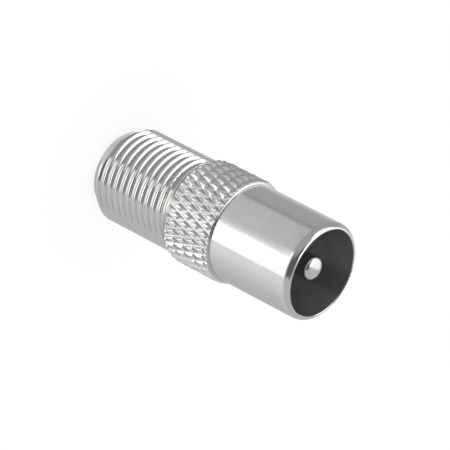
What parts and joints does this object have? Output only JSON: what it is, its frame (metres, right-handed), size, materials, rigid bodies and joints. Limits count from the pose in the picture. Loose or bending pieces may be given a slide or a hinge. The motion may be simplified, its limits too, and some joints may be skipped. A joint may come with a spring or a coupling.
{
  "type": "f connector",
  "caption": "Coaxial adapter: a threaded F jack at one end, a diamond-knurled grip, and a smooth push-on aerial plug with a centre pin at the other.",
  "frame": {"origin": "centre of the threaded end's face, which is the lowest point as the adapter stands", "axes": "+Z along the common axis of both ends, from the threaded end to the plug's mouth"},
  "size_m": [0.0102, 0.0102, 0.0252],
  "materials": {
    "housing": "satin",
    "outer_contact": "polished",
    "white_insulator": "satin",
    "dark_insulator": "satin",
    "inner_contact": "polished",
    "spring_metal": "satin"
  },
  "bodies": {
    "root": {"body": "housing", "plug_sleeve": "outer_contact", "jack_insulator": "white_insulator", "plug_insulator": "dark_insulator", "centre_pin": "inner_contact", "spring_contact": "spring_metal"}
  },
  "joints": []
}
